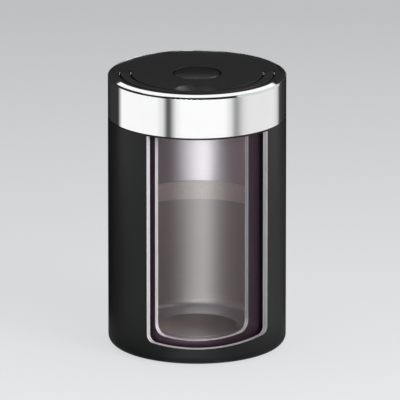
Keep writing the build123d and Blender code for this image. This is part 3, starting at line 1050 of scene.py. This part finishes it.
def tent_panels():
    """The light of the dome's panels."""
    material, tree, _, own = new_material("tent_panels")
    place, flat = take_apart(tree, own.outputs["Object"])
    height = maths(tree, "SUBTRACT", place["Z"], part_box("lid_band")[1].z)
    rise = maths(tree, "ARCTAN2", height, vector_maths(tree, "LENGTH", flat))
    side = maths(tree, "ARCTAN2", place["X"], place["Y"])
    across = maths(tree, "ABSOLUTE", side)
    edge = math.radians(PANEL_EDGE)

    # a panel overhead, one at each side that comes down to its sill, and a soft glow between them
    sills = (math.radians(LEFT_SILL), math.radians(RIGHT_SILL))
    sill = mix_values(tree, step_up(tree, side, 0.0, edge), *sills)
    above_sill = step_up(tree, maths(tree, "SUBTRACT", rise, sill), 0.0, edge)
    flank = maths(tree, "MULTIPLY", arc(tree, across, *FLANK_SIDE), above_sill)
    panel = maths(tree, "MAXIMUM", flank, arc(tree, rise, *OVERHEAD_RISE))
    inner = under(tree, across, math.radians(FLANK_SIDE[0]), edge)
    glow = maths(tree, "MULTIPLY", arc(tree, rise, *GLOW_RISE), inner)
    beside = step_up(tree, across, math.radians(DIM_SIDE), math.radians(DIM_SOFTNESS))
    dim = mix_values(tree, beside, DIM_BEHIND, DIM_BESIDE)
    level = mix_values(tree, panel, mix_values(tree, glow, dim, GLOW_LEVEL), PANEL_LEVEL)

    # a strong lamp further round on the right, the low panel in front, and a broad soft panel
    lamp = maths(tree, "MULTIPLY", arc(tree, side, *LAMP_SIDE), arc(tree, rise, *LAMP_RISE))
    level = mix_values(tree, lamp, level, LAMP_LEVEL)
    behind = step_up(tree, place["Y"], TENT_BACK, 0.05)
    level = mix_values(tree, behind, front_panel(tree, place, rise), level)
    right = maths(tree, "MULTIPLY", arc(tree, side, *SOFT_SIDE), arc(tree, rise, *SOFT_RISE))
    level = mix_values(tree, right, level, SOFT_LEVEL)

    colour = mix_colours(tree, behind, FRONT_TINT, (1.0, 1.0, 1.0))
    light = add_node(tree, "ShaderNodeEmission", {"Color": colour, "Strength": level})
    set_surface(tree, light.outputs[0])
    return material


def make_tent():
    """The dome of panels over the jar, which only polished surfaces see."""
    mesh = bmesh.new()
    bmesh.ops.create_uvsphere(mesh, u_segments=64, v_segments=32, radius=TENT_RADIUS)
    bmesh.ops.bisect_plane(
        mesh,
        geom=[*mesh.verts, *mesh.edges, *mesh.faces],
        plane_co=(0, 0, TENT_CUT),
        plane_no=(0, 0, 1),
        clear_inner=True,
    )
    tent = make_object("tent", mesh)
    for kind in ("camera", "diffuse", "shadow", "transmission", "volume_scatter"):
        setattr(tent, f"visible_{kind}", False)
    tent.data.materials.append(tent_panels())


# ---- Floor, lamps and world ----

FLOOR_REACH = 6.0  # from the middle to each edge
NEAR_TONE = (0.833, 0.841, 0.857)
FAR_TONE = (0.514, 0.520, 0.531)
NEAR_Y = -0.130
FAR_Y = 0.71
SHADOW_SHARE = 0.2  # how much of the lit floor shows through the backdrop's tone
WORLD_LIGHT = (0.28, 0.28, 0.287)
WORLD_REFLECTED = (0.02, 0.02, 0.02)
WORLD_SEEN = (0.50, 0.51, 0.52)

# each lamp's place, its turn about X and Z in degrees, and its size
LAMPS = {
    "overhead": ((0.0, 0.2, 1.6), (0, 0), (2.0, 2.0)),
    "front": ((1.20, -1.53, 0.95), (65, 38), (1.5, 1.0)),
    "side": ((1.4, -1.1, 0.5), (78, 52), (0.8, 0.8)),
}


def pale_floor(studio):
    """A matt floor that the camera sees in the backdrop's tone, and polished surfaces as cards."""
    material, tree, shader, own = new_material("pale_floor")
    place, flat = take_apart(tree, own.outputs["Object"])
    matt = {"Base Color": (*studio.floor_colour, 1.0), "Roughness": 0.9, "Specular IOR Level": 0.0}
    set_inputs(tree, shader, matt)
    far = add_node(
        tree, "ShaderNodeMapRange", {"Value": place["Y"], "From Min": NEAR_Y, "From Max": FAR_Y}
    )
    tone = mix_colours(tree, far.outputs["Result"], NEAR_TONE, FAR_TONE)
    backdrop = add_node(tree, "ShaderNodeEmission", {"Color": tone, "Strength": 1.0})
    cards = floor_cards(tree, place, flat)
    card_light = add_node(tree, "ShaderNodeEmission", {"Color": cards, "Strength": CARD_PEAK})

    path = add_node(tree, "ShaderNodeLightPath").outputs
    lit = shader.outputs[0]
    seen = add_node(tree, "ShaderNodeMixShader", {0: SHADOW_SHARE, 1: backdrop.outputs[0], 2: lit})
    plain = add_node(
        tree, "ShaderNodeMixShader", {0: path["Is Camera Ray"], 1: lit, 2: seen.outputs[0]}
    )
    final = add_node(
        tree,
        "ShaderNodeMixShader",
        {0: path["Is Glossy Ray"], 1: plain.outputs[0], 2: card_light.outputs[0]},
    )
    set_surface(tree, final.outputs[0])
    return material


def make_floor(studio):
    """The floor, which runs on behind the jar as its backdrop."""
    mesh = bmesh.new()
    bmesh.ops.create_grid(mesh, x_segments=2, y_segments=2, size=FLOOR_REACH)
    floor = make_object("floor", mesh)
    floor.data.materials.append(pale_floor(studio))


def make_lights(studio):
    """Soft lamps that light matt surfaces and leave no highlight on polished ones."""
    for name, (place, (lean, turn), size) in LAMPS.items():
        light = bpy.data.lights.new(name, "AREA")
        light.shape = "RECTANGLE"
        light.size, light.size_y = size
        light.energy = getattr(studio, f"{name}_power")
        lamp = bpy.data.objects.new(name, light)
        lamp.location = place
        lamp.rotation_euler = (math.radians(lean), 0.0, math.radians(turn))
        lamp.visible_glossy = False
        bpy.context.scene.collection.objects.link(lamp)


def make_world():
    """A soft even light, which polished surfaces hardly see."""
    world = bpy.data.worlds.new("studio")
    world.use_nodes = True
    tree = world.node_tree
    path = add_node(tree, "ShaderNodeLightPath").outputs
    level = mix_colours(tree, path["Is Glossy Ray"], WORLD_LIGHT, WORLD_REFLECTED)
    level = mix_colours(tree, path["Is Camera Ray"], level, WORLD_SEEN)
    set_inputs(tree, tree.nodes["Background"], {"Color": level})
    bpy.context.scene.world = world


# ---- Panel and registration ----


class JAR_PT_panel(Panel):
    """The jar's pieces and sizes"""

    bl_idname = "JAR_PT_panel"
    bl_label = "Food Jar"
    bl_space_type = "VIEW_3D"
    bl_region_type = "UI"
    bl_category = "Food Jar"

    def draw(self, context):
        layout = self.layout
        for settings, _ in SETTINGS:
            group = getattr(context.scene, settings)
            for name in group.__annotations__:
                layout.prop(group, name)
        for operator in OPERATORS:
            layout.operator(operator.bl_idname)


OPERATORS = (
    JAR_OT_finish_body,
    JAR_OT_finish_lid,
    JAR_OT_add_threads,
    JAR_OT_wind_spring,
    JAR_OT_set_stage,
)
SETTINGS = (
    ("jar_finish", JarFinishSettings),
    ("jar_threads", ThreadSettings),
    ("jar_studio", StudioSettings),
)


def register():
    for name, group in SETTINGS:
        bpy.utils.register_class(group)
        setattr(bpy.types.Scene, name, PointerProperty(type=group))
    for made in (*OPERATORS, JAR_PT_panel):
        bpy.utils.register_class(made)


def unregister():
    for made in (JAR_PT_panel, *reversed(OPERATORS)):
        bpy.utils.unregister_class(made)
    for name, group in reversed(SETTINGS):
        delattr(bpy.types.Scene, name)
        bpy.utils.unregister_class(group)


def main():
    register()
    bpy.ops.jar.finish_body()
    bpy.ops.jar.finish_lid()
    bpy.ops.jar.add_threads()
    bpy.ops.jar.wind_spring()
    bpy.ops.jar.set_stage()


if __name__ == "__main__":
    main()
